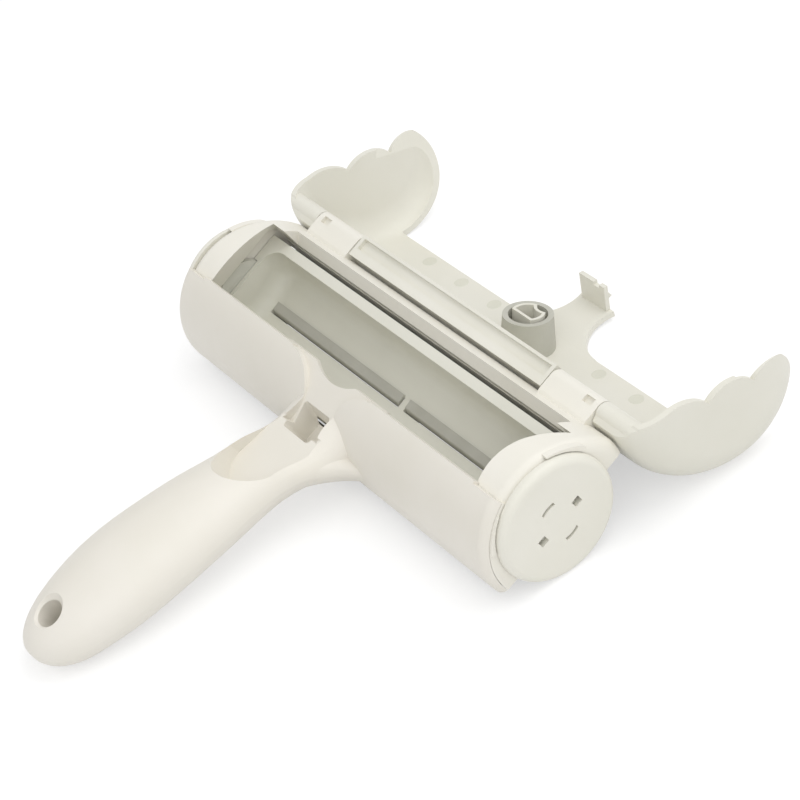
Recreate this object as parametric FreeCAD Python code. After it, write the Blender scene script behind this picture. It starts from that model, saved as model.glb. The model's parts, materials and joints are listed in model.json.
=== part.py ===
"""Pet hair removal brush, lying on its back rim with the dust lid swung wide open.

Everything is drawn in the head frame, in millimetres:
  X runs along the drum, Y points from the handle to the lid hinge,
  Z is square to the flat bottom of the head, and z = 0 is that bottom.
The lid is drawn shut, turned open about its hinge, and then the whole brush is tipped
until the end discs and the tail of the handle touch the table.
"""
import FreeCAD, Part
import math
import os

V = FreeCAD.Vector

# Head: front shell, end domes and rear rail
head_half = 92.5          # middle of the head to an end plane
shell_radius = 29.0       # outside of the front shell
shell_centre_z = 2.4      # its axis above the flat bottom
shell_wall = 2.4
front_edge_angle = 105.0  # where the front shell stops, from +Y
front_edge_low_angle = 107.0  # the same at the ends, under the wings
front_edge_end = 12.5     # end plane to the place where the edge steps down
front_end_round = 3.5
dome_gap = 0.35           # shut lid to dome
dome_end_round = 4.0
dome_shoulder_angle = 60.0
dome_heel_out = 1.0       # domes stand out this far behind the sole
dome_rear_z = 4.5
opening_end = 13.5        # end plane to the top opening
end_plate = 1.9           # the same down at the drum rim
opening_foot_z = 10.0
front_rail_height = 4.0
rail_depth = 5.8
rail_inner_z = 8.2
rail_crest_in = (3.4, 12.2)   # from the inner edge, and height
rail_heel_out = (2.0, 7.6)    # behind the sole, and height
rail_wall = 2.2

# Drum and its end discs
drum_axis_z = 5.9
drum_depth = 7.8          # outside of the front shell to the bare drum
nap_height = 1.0          # lint cloth on the drum
drum_wall = 1.8
drum_running_gap = 0.7
drum_end_gap = 0.4
drum_rim_z = 8.6
swing_limit = 15.0        # drum swing to each side, in degrees
swing_clear = 1.55633     # over the tray's rim at that limit
tray_rim_z = 10.0
tray_flange = 1.3
tray_wall = 1.6
tray_gap = 0.2
tray_fold_round = 5.0
tray_end_round = 7.0
tray_over = 5.0           # the hollow is drawn this far past the rim
tray_knee_angle = -32.0
tray_floor_z = -5.6
slot_near_y = -1.1
slot_far_y = 2.8
slot_end = 8.2            # end of the drum to the slot
slot_rib = 3.0
chute_wall = 1.4
flap_thickness = 0.9
flap_root_y = 3.6
flap_tip_y = -0.1
flap_hang = (-0.8, 1.6)   # y of the hanging edge, and how far it hangs below the tray's floor
flap_clear = 0.4
flap_lift = 0.04
hub_radius = 8.0
hub_flange = 2.4
hub_bore = 6.2
hub_fit = 0.06
end_wall = 2.0
disc_lap = 1.0            # disc outside the bare drum
disc_gap = 0.3            # disc back to the end plane
disc_rim = 0.8            # straight part of the rim
disc_round = 2.6
disc_wall = 1.6
disc_slot_ring = 8.1
disc_window = 3.0
disc_arc_slot = (1.2, 5.4)
ring_gap = 0.4
ring_width = 1.9
ring_height = 0.5
ring_dome_gap = 0.15
ring_arcs = ((22.0, 60.0), (120.0, 155.0))
cloth_edge_angle = 16.0   # cloth stops this far above level at each side
cloth_slot_angle = 9.5

# Lid, drawn shut
lid_wall = 2.2
wing_reach = 9.5          # end plane to the outside of a wing
lid_end_round = 12.0
hinge_reach = 7.0         # hinge axis behind the sole
hinge_z = 4.5
lid_rear_out = (4.3, 7.0)     # behind the hinge axis, and height
lid_foot_z = -12.0
lid_rear_cut_z = 5.0
lid_open_angle = 217.9
# Front edge of a wing: outside the end plane, and height
wing_trim_profile = ((0.5, 34.0), (0.6, 28.0), (2.7, 14.5), (5.7, 3.5), (9.1, -8.3))
wing_trim_gap = 0.8       # degrees from the front edge line to the lid's edge
wing_notch_1 = (11.8, -0.5)
wing_notch_2 = (-6.8, -2.2)
wing_neck_in = (7.0, -2.4)    # in front of the hinge axis, and height
wing_tip = (-17.0, -8.0)
wing_toe = (-26.0, -2.0)
wing_bows = ((20.6, -3.9), (1.8, -5.4), (-11.0, -6.8), (-22.0, -6.4))   # lowest points between them
wing_heel = (5.6, 3.2)        # from the hinge axis
wing_heel_in = (1.6, 0.1)
wing_neck_bow = (3.6, 1.1)
tab_slope = 18.0
tab_length = 20.0
tab_half = 9.7
tab_bite_radius = 15.0
tab_bite_x = 23.0
tab_bite_s = 15.0
hook_half = 6.9
hook_tilt = 9.0           # hook leans this much away from square to the tab
hook_depth = 10.0
hook_wall = 1.7
hook_notch = 3.0
barb_reach = 1.4

# Hinge
barrel_radius = 3.6
knuckle_end = 12.5        # end plane to the outer end of a frame knuckle
knuckle_length = 24.2
knuckle_gap = 0.4
knuckle_sweep = 7.2       # lid is cut back this far round a frame knuckle
block_end_gap = 0.6       # frame knuckle to the lid's middle block
block_corner = (-5.1, 3.4)
block_near_wall = 3.3
block_far_wall = 1.1
block_end_wall = 1.6
block_groove = 1.6
block_sweep_gap = 0.35
arm_end_in = 1.4          # end of the lid's eye inside the wing
pin_radius = 1.2
pin_fit = 0.05
pin_press = 0.02
pin_seat = 7.8            # length of a pin in the middle block
pin_cover = 9.0           # outside of a wing to the end of the pin
window_in = 4.7           # outer end of a frame knuckle to the middle of its window
window_half = (2.2, 1.3)
window_depth = 1.5

# Push button in the lid
button_y = 5.0
button_radius = 6.9
button_gap = 0.3
button_floor = 1.2
button_travel = 2.5
well_wall = 1.0
well_depth = 5.7
cap_thickness = 1.5
stem_radius = 6.0
stem_flat = 3.0
stem_wall = 1.1
stem_bite = (1.5, -8.2, 4.4)   # centre from the stem's axis, and radius
stem_gap = 0.3
stem_proud = 0.8
sleeve_end_drop = 14.9    # below the crown of the shell
sleeve_base_radius = 10.0
sleeve_end_radius = 8.95
sleeve_bore = 7.0
sleeve_gap = 0.1

# Handle sections from the root to the tail: how far in front of the shell, how far the centre
# lies below the crown of the shell, half width and half height
handle_profile = (
    (-14.0, 16.8, 18.6, 11.8),
    (-7.0, 16.6, 17.6, 11.7),
    (1.0, 15.1, 16.9, 11.3),
    (7.0, 11.8, 16.2, 10.7),
    (13.0, 7.4, 15.5, 10.6),
    (21.0, 3.6, 15.2, 10.6),
    (36.0, -2.0, 17.0, 11.9),
    (51.0, -6.8, 18.6, 12.9),
    (68.0, -11.6, 19.4, 13.5),
    (81.0, -14.4, 18.7, 12.9),
    (91.0, -16.3, 16.9, 11.7),
    (97.0, -17.2, 15.4, 10.5),
    (102.0, -18.0, 13.2, 9.0),
    (106.0, -18.8, 10.2, 7.0),
    (108.6, -19.5, 6.8, 4.7),
    (109.9, -19.9, 3.2, 2.2),
)
handle_wall = 2.4
hollow_root_index = 4     # the hollow starts at this section
hollow_tail_index = 13    # and stops at this one
rest_index = 11           # the tail touches the table near this section
cover_root_index = 5
cover_tail_index = 12
# Flare of the handle root, low on the head: the same four numbers
flare_profile = (
    (-13.0, 28.9, 37.0, 10.5),
    (-9.0, 27.8, 33.0, 10.5),
    (-5.0, 25.2, 28.4, 10.7),
    (-1.0, 20.8, 22.8, 10.8),
    (4.0, 15.8, 18.2, 10.8),
    (10.0, 10.4, 15.6, 10.5),
    (15.0, 6.8, 14.4, 9.9),
)
cover_share = 0.5         # parting line below the centre, as a share of the half height
seam = 0.12
hang_hole_out = 95.6      # hang hole in front of the shell
hang_hole_radius = 4.8
hang_boss_wall = 2.4
hang_mouth = 1.6
screw_indexes = (6, 9)
screw_head = (2.9, 1.8)
screw_shank = (1.4, 9.0)
screw_fit = 0.05
screw_recess = 4.0
screw_cup_wall = 1.3

# Seat for the lid tab, latch pocket and finger scoop in the handle root
seat_gap = 0.5
seat_backing = 2.2
seat_backing_half = 29.0
seat_backing_angle = 138.0
pocket_half = 7.5
pocket_out = 1.8          # front wall of the pocket in front of the shell
pocket_length = 8.9
pocket_lean = 2.6         # the wall next to the drum leans back this far for the hook's swing
pocket_mouth_drop = 6.9   # below the crown of the shell
pocket_floor_drop = 19.4
pocket_corner = 1.5
pocket_drum_gap = 0.5
pocket_wall = 2.2
scoop_half = 12.0
scoop_root = (2.0, 7.1)       # behind the front of the shell, and below its crown
scoop_rise = (28.0, 1.8)      # in front of it, and below its crown
scoop_tip_length = 10.0
scoop_wall = 2.2
notch_radius = 22.0
notch_in = 19.0           # behind the front of the shell
notch_drop = 11.4         # below the crown

# Wiper strips on the sole
wiper_end = 4.5           # end plane to the end of a strip
wiper_outer_in = 1.8      # inside the edge of the sole
wiper_lip = 1.1
wiper_bite = 0.7          # tip inside the cloth's radius, below it where the cloth has curved away
wiper_thickness = 1.1
wiper_droop = 0.4

# Sizes that follow from those above
half_turn = 180.0
crown_z = shell_centre_z + shell_radius
dome_radius = shell_radius - lid_wall - dome_gap
shell_centre = (0.0, shell_centre_z)
drum_centre = (0.0, drum_axis_z)
far = 400.0

# Along the drum
front_edge_long_half = head_half - front_edge_end
opening_half = head_half - opening_end
opening_foot_half = head_half - end_plate
drum_half = opening_foot_half - drum_end_gap
slot_half_length = drum_half - slot_end
wiper_half = head_half - wiper_end
lid_half = head_half + wing_reach
wing_trim = tuple((head_half + out, z) for out, z in wing_trim_profile)
knuckle_outer = head_half - knuckle_end
knuckle_inner = knuckle_outer - knuckle_length
block_half = knuckle_inner - block_end_gap
window_x = knuckle_outer - window_in
pin_inner = knuckle_inner - pin_seat
pin_outer = lid_half - pin_cover
arm_end = lid_half - arm_end_in

# Across the head, towards the hinge; the sole is as deep as the shell is round
drum_radius = shell_radius - drum_depth
disc_radius = drum_radius + disc_lap
sole_rear_y = shell_radius
dome_rear_y = sole_rear_y + dome_heel_out
rail_inner_y = sole_rear_y - rail_depth
rail_crest = (rail_inner_y + rail_crest_in[0], rail_crest_in[1])
rail_heel = (sole_rear_y + rail_heel_out[0], rail_heel_out[1])
hinge_y = sole_rear_y + hinge_reach
hinge = (hinge_y, hinge_z)
lid_rear = (hinge_y + lid_rear_out[0], lid_rear_out[1])
wing_neck = (hinge_y - wing_neck_in[0], wing_neck_in[1])
wiper_outer = sole_rear_y - wiper_outer_in
wiper_tip = drum_radius + nap_height - wiper_bite
wiper_inner = wiper_tip + wiper_lip
rim_angle = math.asin((tray_rim_z - drum_axis_z) / drum_radius) + math.radians(swing_limit)
drum_room_top = drum_axis_z + drum_radius * math.sin(rim_angle) + swing_clear
sleeve_end_z = crown_z - sleeve_end_drop

# Across the head, towards the handle
handle_front = -shell_radius
handle_stations = tuple((handle_front - out, crown_z - drop, a, b)
                        for out, drop, a, b in handle_profile)
flare_stations = tuple((handle_front - out, crown_z - drop, a, b)
                       for out, drop, a, b in flare_profile)
hang_hole_y = handle_front - hang_hole_out
pocket_y = (handle_front - pocket_out, handle_front - pocket_out + pocket_length)
pocket_mouth = (pocket_y[1] + pocket_lean, crown_z - pocket_mouth_drop)
pocket_floor_z = crown_z - pocket_floor_drop
scoop_start = (handle_front + scoop_root[0], crown_z - scoop_root[1])
scoop_end = (handle_front - scoop_rise[0], crown_z - scoop_rise[1])
notch_bottom_y = handle_front + notch_in


def at(x, point):
    """A point of the head's section, (y, z), at the place x along the drum."""
    return V(x, point[0], point[1])


def polar(centre, radius, degrees):
    """Section point at an angle from +Y round a centre."""
    a = math.radians(degrees)
    return (centre[0] + radius * math.cos(a), centre[1] + radius * math.sin(a))


def line(x, p, q):
    return Part.LineSegment(at(x, p), at(x, q)).toShape()


def arc(x, p, q, r):
    return Part.Arc(at(x, p), at(x, q), at(x, r)).toShape()


def prism(points, x0, x1):
    """Section polygon pushed along the drum from x0 to x1."""
    corners = [at(x0, p) for p in points]
    face = Part.Face(Part.makePolygon(corners + corners[:1]))
    return face.extrude(V(x1 - x0, 0, 0))


def swept(edges, length):
    """Closed section edges pushed along the drum."""
    return Part.Face(Part.Wire(edges)).extrude(V(length, 0, 0))


def rod(centre, radius, x0, x1):
    """Round bar along the drum."""
    return Part.makeCylinder(radius, x1 - x0, at(x0, centre), V(1, 0, 0))


def box(x0, x1, y0, y1, z0, z1):
    return Part.makeBox(x1 - x0, y1 - y0, z1 - z0, V(x0, y0, z0))


def both_ends(shape):
    """A shape and its mirror image at the other end of the drum."""
    return [shape, shape.mirror(V(0, 0, 0), V(1, 0, 0))]


def joined(shapes):
    whole = shapes[0].fuse(list(shapes[1:]))
    return whole.removeSplitter()


def tangent_arc(start, centre, end):
    """Centre and middle point of the arc that leaves a circle smoothly at start and meets end."""
    radius = math.dist(start, centre)
    n = ((start[0] - centre[0]) / radius, (start[1] - centre[1]) / radius)
    d = (start[0] - end[0], start[1] - end[1])
    bend = (d[0] ** 2 + d[1] ** 2) / (2 * (d[0] * n[0] + d[1] * n[1]))
    middle = (start[0] - bend * n[0], start[1] - bend * n[1])
    a0 = math.degrees(math.atan2(start[1] - middle[1], start[0] - middle[0]))
    a1 = math.degrees(math.atan2(end[1] - middle[1], end[0] - middle[0]))
    return middle, bend, polar(middle, bend, (a0 + a1) / 2)


front_edge = polar(shell_centre, shell_radius, front_edge_angle)
lid_centre, lid_radius, _ = tangent_arc(front_edge, shell_centre, lid_rear)


def circle_y(centre, radius, z, side):
    """Where a circle of the section crosses the height z, on the side -1 or +1."""
    return centre[0] + side * math.sqrt(radius ** 2 - (z - centre[1]) ** 2)


def dome_edges(x, inset):
    """Outline of an end dome, smaller all round by inset."""
    r = dome_radius - inset
    toe = (circle_y(shell_centre, r, 0, -1), 0.0)
    shoulder = polar(shell_centre, r, dome_shoulder_angle)
    heel = (dome_rear_y - inset, dome_rear_z)
    sole = (sole_rear_y - inset, 0.0)
    _, _, mid = tangent_arc(shoulder, shell_centre, heel)
    return [
        arc(x, toe, polar(shell_centre, r, (180 + dome_shoulder_angle) / 2), shoulder),
        arc(x, shoulder, mid, heel),
        line(x, heel, sole),
        line(x, sole, toe),
    ]


def end_edges(shape, x, curves):
    """Curved edges of a shape that lie in the end plane at x."""
    found = []
    for edge in shape.Edges:
        box_ = edge.BoundBox
        flat = abs(box_.XMin - x) < 1e-3 and abs(box_.XMax - x) < 1e-3
        if flat and edge.Curve.TypeId in curves:
            found.append(edge)
    return found


def frame_knuckle():
    """Hinge eye of the frame with the web that ties it to the rear rail, and its window."""
    eye = rod(hinge, barrel_radius, knuckle_inner, knuckle_outer)
    web = prism([
        (sole_rear_y - rail_wall, hinge_z - barrel_radius),
        (hinge_y, hinge_z - barrel_radius),
        (hinge_y, hinge_z + barrel_radius),
        (rail_heel[0] - 1.0, hinge_z + barrel_radius),
        (dome_rear_y - rail_wall, rail_heel[1]),
    ], knuckle_inner, knuckle_outer)
    window = box(window_x - window_half[0], window_x + window_half[0],
                 hinge_y - window_half[1], hinge_y + window_half[1],
                 hinge_z + barrel_radius - window_depth, hinge_z + far)
    bore = rod(hinge, pin_radius + pin_press, knuckle_inner - 1, knuckle_outer + 1)
    return eye.fuse(web).cut(window).cut(bore)


def disc_ring():
    """Two raised arcs on the end plane, before and behind an end disc."""
    r = disc_radius + ring_gap
    ring = rod(drum_centre, r + ring_width, head_half - dome_end_round / 2, head_half + ring_height)
    ring = ring.cut(rod(drum_centre, r, head_half - dome_end_round, head_half + 2))
    ring = ring.common(rod(shell_centre, dome_radius - ring_dome_gap, 0, far))
    reach = far / 8
    arcs = []
    for low, high in ring_arcs:
        fan = [drum_centre, polar(drum_centre, reach, low), polar(drum_centre, reach, high)]
        arcs.append(ring.common(prism(fan, 0, far)))
    return arcs


def front_form():
    """Solid front half of the head with rounded end edges, up to the front edge line."""
    toe = (circle_y(shell_centre, shell_radius, 0, -1), 0.0)
    brow = polar(shell_centre, shell_radius, 60.0)
    x = -head_half
    edges = [arc(x, toe, polar(shell_centre, shell_radius, 140.0), brow),
             line(x, brow, (brow[0], 0.0)), line(x, (brow[0], 0.0), toe)]
    solid = swept(edges, 2 * head_half)
    rims = end_edges(solid, head_half, ("Part::GeomCircle",))
    rims += end_edges(solid, -head_half, ("Part::GeomCircle",))
    return solid.makeFillet(front_end_round, rims).common(front_region(0))


def front_region(back_off):
    """Everything in front of the front edge line; back_off moves the line to the front, in degrees."""
    reach = far / 4
    def fan(angle, x0, x1):
        ray = polar(shell_centre, reach, angle + back_off)
        return prism([shell_centre, ray, (-reach, ray[1]), (-reach, -reach), (0, -reach)], x0, x1)
    middle = fan(front_edge_angle, -front_edge_long_half, front_edge_long_half)
    right = fan(front_edge_low_angle, front_edge_long_half, far)
    left = fan(front_edge_low_angle, -far, -front_edge_long_half)
    return middle.fuse([right, left])


def front_of_edge(back_off):
    """All in front of the long front edge; back_off moves the line to the rear, in degrees."""
    reach = far / 4
    ray = polar(shell_centre, reach, front_edge_angle - back_off)
    return prism([shell_centre, ray, (-reach, ray[1]), (-reach, -reach), (0, -reach)], -far, far)


def end_plate_front():
    """Front part of the frame's ends, flush with the end of the front shell."""
    core = rod(shell_centre, dome_radius, -head_half, head_half)
    middle = box(-opening_half, opening_half, -far, far, -far, far)
    return front_form().common(core).cut(middle)


def make_head_frame():
    """End domes, rear rail, front toe rail and hinge eyes: one moulding."""
    blank = swept(dome_edges(-head_half, 0), 2 * head_half)
    rims = end_edges(blank, head_half, ("Part::GeomCircle",))
    rims += end_edges(blank, -head_half, ("Part::GeomCircle",))
    blank = blank.makeFillet(dome_end_round, rims).fuse(end_plate_front())
    room = drum_radius + nap_height + drum_running_gap
    low = box(-far, far, -far, far, -far, drum_room_top)
    blank = blank.cut(rod(drum_centre, room, -opening_foot_half, opening_foot_half).common(low))
    mouth = [(-opening_half, far), (opening_half, far), (opening_foot_half, opening_foot_z),
             (opening_foot_half, front_rail_height), (-opening_foot_half, front_rail_height),
             (-opening_foot_half, opening_foot_z)]
    slope = (opening_foot_half - opening_half) / (28.0 - opening_foot_z)
    mouth[0] = (-opening_half + slope * 12, 28.0 + 12)
    mouth[1] = (opening_half - slope * 12, 28.0 + 12)
    corners = [V(x, -far / 4, z) for x, z in mouth]
    face = Part.Face(Part.makePolygon(corners + corners[:1]))
    blank = blank.cut(face.extrude(V(0, far / 4 + rail_inner_y, 0)))
    above_rail = prism([
        (rail_inner_y - 4, rail_inner_z), (rail_inner_y, rail_inner_z), rail_crest, rail_heel,
        (far / 4, rail_heel[1]), (far / 4, far / 4), (rail_inner_y - 4, far / 4),
    ], -opening_half, opening_half)
    blank = blank.cut(above_rail)
    front_arc, rear_arc = disc_ring()
    extra = both_ends(frame_knuckle()) + both_ends(front_arc) + both_ends(rear_arc)
    frame = joined([blank] + extra)
    frame = frame.cut(rod(hinge, math.hypot(*block_corner) + block_sweep_gap,
                          -block_half - knuckle_gap, block_half + knuckle_gap))
    for bore in both_ends(rod(hinge, pin_radius + pin_press, knuckle_inner - 1, knuckle_outer + 1)):
        frame = frame.cut(bore)
    return frame.cut(rod(drum_centre, hub_radius + hub_fit, -far / 2, far / 2))


def front_trim(y0, y1):
    """Block between the front edges of the two wings, over the depth y0 to y1."""
    def p(point, side):
        return V(side * point[0], y0, point[1])
    def seam_curve(side):
        curve = Part.BSplineCurve()
        curve.interpolate([p(q, side) for q in wing_trim])
        return curve.toShape()
    first, last = wing_trim[0], wing_trim[-1]
    foot = (last[0] + 4.0, -far / 10)
    crown = (first[0], far / 8)
    edges = [
        seam_curve(1),
        Part.LineSegment(p(last, 1), p(foot, 1)).toShape(),
        Part.LineSegment(p(foot, 1), p(foot, -1)).toShape(),
        Part.LineSegment(p(foot, -1), p(last, -1)).toShape(),
        seam_curve(-1),
        Part.LineSegment(p(first, -1), p(crown, -1)).toShape(),
        Part.LineSegment(p(crown, -1), p(crown, 1)).toShape(),
        Part.LineSegment(p(crown, 1), p(first, 1)).toShape(),
    ]
    return Part.Face(Part.Wire(edges)).extrude(V(0, y1 - y0, 0))


def front_shell():
    """Curved front wall of the head, from the sole up to the front edge of the opening."""
    return front_form().cut(rod(shell_centre, shell_radius - shell_wall, -far, far))


def seat_backing_wall():
    """Thicker wall behind the seat of the lid tab."""
    outer = rod(shell_centre, shell_radius - shell_wall, -seat_backing_half, seat_backing_half)
    inner = rod(shell_centre, shell_radius - shell_wall - seat_backing, -far, far)
    ray_0 = polar(shell_centre, far / 4, front_edge_angle)
    ray_1 = polar(shell_centre, far / 4, seat_backing_angle)
    return outer.cut(inner).common(prism([shell_centre, ray_0, ray_1], -far, far))


def station_wire(station, inset):
    y, z, a, b = station
    centre = V(0, y, z)
    ellipse = Part.Ellipse(V(a - inset, y, z), V(0, y, z + b - inset), centre)
    return Part.Wire(ellipse.toShape())


def handle_blank(inset, first, last):
    """Loft through the handle's stations, smaller all round by inset."""
    wires = [station_wire(s, inset) for s in handle_stations[first:last]]
    return Part.makeLoft(wires, True, False)


def handle_outside():
    """Whole outer form of the handle with its flared root, level with the sole."""
    flare = Part.makeLoft([station_wire(s, 0) for s in flare_stations], True, False)
    flare = flare.cut(box(-far, far, -far, far, -far, 0))
    return handle_blank(0, 0, len(handle_stations)).fuse(flare)


def underside_prism(gap):
    """Space below the parting line of the handle, larger by gap."""
    chosen = handle_stations[cover_root_index:cover_tail_index + 1]
    seam_line = [V(-far / 8, s[0], s[1] - cover_share * s[3] + gap) for s in chosen]
    seam_line[0].y += gap
    seam_line[-1].y -= gap
    curve = Part.BSplineCurve()
    curve.interpolate(seam_line)
    low = -far / 10
    first, last = seam_line[0], seam_line[-1]
    edges = [
        curve.toShape(),
        Part.LineSegment(last, V(last.x, last.y, low)).toShape(),
        Part.LineSegment(V(last.x, last.y, low), V(first.x, first.y, low)).toShape(),
        Part.LineSegment(V(first.x, first.y, low), first).toShape(),
    ]
    return Part.Face(Part.Wire(edges)).extrude(V(far / 4, 0, 0))


def tab_plan(s0, s1, growth, z0, z1):
    """Plan of the lid tab as a block: length s along the slope, z square to it, grown all round."""
    base = box(-tab_bite_x, tab_bite_x, -tab_bite_s, -s0, z0, z1)
    nose = box(-tab_half - growth, tab_half + growth, -s1, 0, z0, z1)
    plan = base.fuse(nose)
    for side in (-1, 1):
        plan = plan.cut(Part.makeCylinder(tab_bite_radius - growth, z1 - z0,
                                          V(side * tab_bite_x, -tab_bite_s, z0)))
    return plan


def on_tab(shape):
    """Lay a block drawn on the tab's own axes along the slope of the front edge."""
    shape = shape.copy()
    shape.rotate(V(0, 0, 0), V(1, 0, 0), tab_slope)
    shape.translate(at(0, front_edge))
    return shape


def scoop_block(growth):
    """Finger scoop behind the tab: flat sloping floor, straight sides and a round end."""
    y_tip = scoop_end[0] - growth
    half = scoop_half + growth
    bend_y = scoop_end[0] + scoop_tip_length
    tip = Part.Arc(V(half, bend_y, 0), V(0, y_tip, 0), V(-half, bend_y, 0)).toShape()
    start_y = scoop_start[0] + growth
    edges = [
        tip,
        Part.LineSegment(V(-half, bend_y, 0), V(-half, start_y, 0)).toShape(),
        Part.LineSegment(V(-half, start_y, 0), V(half, start_y, 0)).toShape(),
        Part.LineSegment(V(half, start_y, 0), V(half, bend_y, 0)).toShape(),
    ]
    plan = Part.Face(Part.Wire(edges)).extrude(V(0, 0, far / 4))
    rise = (scoop_end[1] - scoop_start[1]) / (scoop_end[0] - scoop_start[0])
    def floor(y):
        return (y, scoop_start[1] + rise * (y - scoop_start[0]) - growth)
    y0, y1 = y_tip - 5, start_y + 5
    under = prism([floor(y0), floor(y1), (y1, -far / 10), (y0, -far / 10)], -far, far)
    return plan.cut(under)


def pocket_block(growth):
    """Latch pocket in front of the scoop, with rounded upright corners."""
    top = far / 8
    mouth_y, mouth_z = pocket_mouth
    section = [
        (pocket_y[0] - growth, pocket_floor_z - growth), (pocket_y[1] + growth, pocket_floor_z - growth),
        (mouth_y + growth, mouth_z), (mouth_y + growth, top), (pocket_y[0] - growth, top),
    ]
    block = prism(section, -pocket_half - growth, pocket_half + growth)
    upright = [e for e in block.Edges if e.BoundBox.ZLength > 1.0]
    return block.makeFillet(pocket_corner, upright)


def screw_place(index):
    """Underside point of the handle where a cover screw goes in."""
    y, z, _, b = handle_stations[index]
    return V(0, y, z - b)


def make_handle_shell():
    """Front shell and handle in one moulding, open below for the cover."""
    outer = handle_outside()
    hollow = handle_blank(handle_wall, hollow_root_index, hollow_tail_index + 1)
    inside_head = rod(shell_centre, shell_radius - shell_wall / 2, -far, far)
    grip = outer.cut(hollow).cut(underside_prism(seam))
    lining = outer.common(scoop_block(scoop_wall))
    pocket = outer.common(pocket_block(pocket_wall))
    drum_room = drum_radius + nap_height + drum_running_gap + pocket_drum_gap
    pocket = pocket.cut(rod(drum_centre, drum_room, -far, far))
    boss = Part.makeCylinder(hang_hole_radius + hang_boss_wall, far / 4, V(0, hang_hole_y, 0))
    lining = lining.fuse(outer.common(boss))
    for index in screw_indexes:
        foot = screw_place(index)
        post = Part.makeCylinder(screw_head[0] + 0.4, far / 4,
                                 foot + V(0, 0, screw_recess + screw_cup_wall + seam))
        lining = lining.fuse(outer.common(post))
    grip = grip.fuse(lining).cut(inside_head).cut(box(-far, far, shell_centre[0], far, -far, far))
    body = grip.fuse([front_shell(), seat_backing_wall(), pocket])
    body = body.cut(on_tab(tab_plan(-6, tab_length + 2, seat_gap, -lid_wall - 0.3, far / 16)))
    body = body.cut(scoop_block(0)).cut(pocket_block(0))
    notch = Part.makeCylinder(notch_radius, far / 10, V(0, notch_bottom_y + notch_radius, crown_z - notch_drop))
    body = body.cut(notch).cut(hang_hole_cut())
    for index in screw_indexes:
        hole = Part.makeCylinder(screw_shank[0] + screw_fit, screw_shank[1] + 1,
                                 screw_place(index) + V(0, 0, screw_recess))
        body = body.cut(hole)
    return body


def hang_hole_cut():
    """Hang hole with eased mouths, drawn as one turned cutter."""
    z_low, z_high = hang_hole_ends()
    reach = 6.0
    profile = [
        (0, z_low - reach), (hang_hole_radius + hang_mouth + reach, z_low - reach),
        (hang_hole_radius, z_low + hang_mouth), (hang_hole_radius, z_high - hang_mouth),
        (hang_hole_radius + hang_mouth + reach, z_high + reach), (0, z_high + reach),
    ]
    corners = [V(r, hang_hole_y, z) for r, z in profile]
    face = Part.Face(Part.makePolygon(corners + corners[:1]))
    return face.revolve(V(0, hang_hole_y, 0), V(0, 0, 1), 360)


def hang_hole_ends():
    """Heights of the handle's underside and top at the hang hole."""
    before = max(s for s in handle_stations if s[0] <= hang_hole_y)
    after = min(s for s in handle_stations if s[0] > hang_hole_y)
    t = (hang_hole_y - before[0]) / (after[0] - before[0])
    z = before[1] + t * (after[1] - before[1])
    b = before[3] + t * (after[3] - before[3])
    return z - b, z + b


def make_handle_cover():
    """Underside cover of the handle with its two screw cups."""
    outer = handle_outside()
    hollow = handle_blank(handle_wall, hollow_root_index, hollow_tail_index + 1)
    below = underside_prism(0)
    cover = outer.common(below).cut(hollow)
    cup_radius = screw_head[0] + screw_fit + screw_cup_wall
    for index in screw_indexes:
        foot = screw_place(index)
        cup = Part.makeCylinder(cup_radius, screw_recess + screw_cup_wall + 2, foot - V(0, 0, 2))
        cover = cover.fuse(cup.common(outer).common(below))
    for index in screw_indexes:
        foot = screw_place(index)
        cover = cover.cut(Part.makeCylinder(screw_head[0] + screw_fit * 3, screw_recess + 4,
                                            foot - V(0, 0, 4)))
        cover = cover.cut(Part.makeCylinder(screw_shank[0] + 0.2, far / 10, foot))
    clear = hang_hole_radius + hang_boss_wall + seam
    cover = cover.cut(Part.makeCylinder(clear, far / 4, V(0, hang_hole_y, 0)))
    return cover.removeSplitter()


def make_cover_screws():
    """Two pan head screws, head down in the cups."""
    screws = []
    for index in screw_indexes:
        seat = screw_place(index) + V(0, 0, screw_recess)
        head = Part.makeCylinder(screw_head[0], screw_head[1], seat - V(0, 0, screw_head[1]))
        shank = Part.makeCylinder(screw_shank[0], screw_shank[1], seat)
        cross = box(-1.8, 1.8, seat.y - 0.4, seat.y + 0.4, seat.z - screw_head[1] - 1,
                    seat.z - screw_head[1] + 0.9)
        bar = box(-0.4, 0.4, seat.y - 1.8, seat.y + 1.8, seat.z - screw_head[1] - 1,
                  seat.z - screw_head[1] + 0.9)
        screws.append(head.fuse(shank).cut(cross).cut(bar).removeSplitter())
    return Part.makeCompound(screws)


def lid_blank(inset):
    """Closed helmet shape of the lid and its wings, smaller all round by inset."""
    r_front = shell_radius - inset
    r_rear = lid_radius - inset
    foot = lid_foot_z - inset
    half = lid_half - inset
    edge = polar(shell_centre, r_front, front_edge_angle)
    toe = (circle_y(shell_centre, r_front, foot, -1), foot)
    heel = (circle_y(lid_centre, r_rear, foot, 1), foot)
    mid_front = polar(shell_centre, r_front, 150.0)
    mid_rear = polar(lid_centre, r_rear, 50.0)
    edges = [arc(-half, toe, mid_front, edge), arc(-half, edge, mid_rear, heel), line(-half, heel, toe)]
    solid = swept(edges, 2 * half)
    rims = end_edges(solid, half, ("Part::GeomCircle",))
    rims += end_edges(solid, -half, ("Part::GeomCircle",))
    return solid.makeFillet(lid_end_round - inset, rims)


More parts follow.
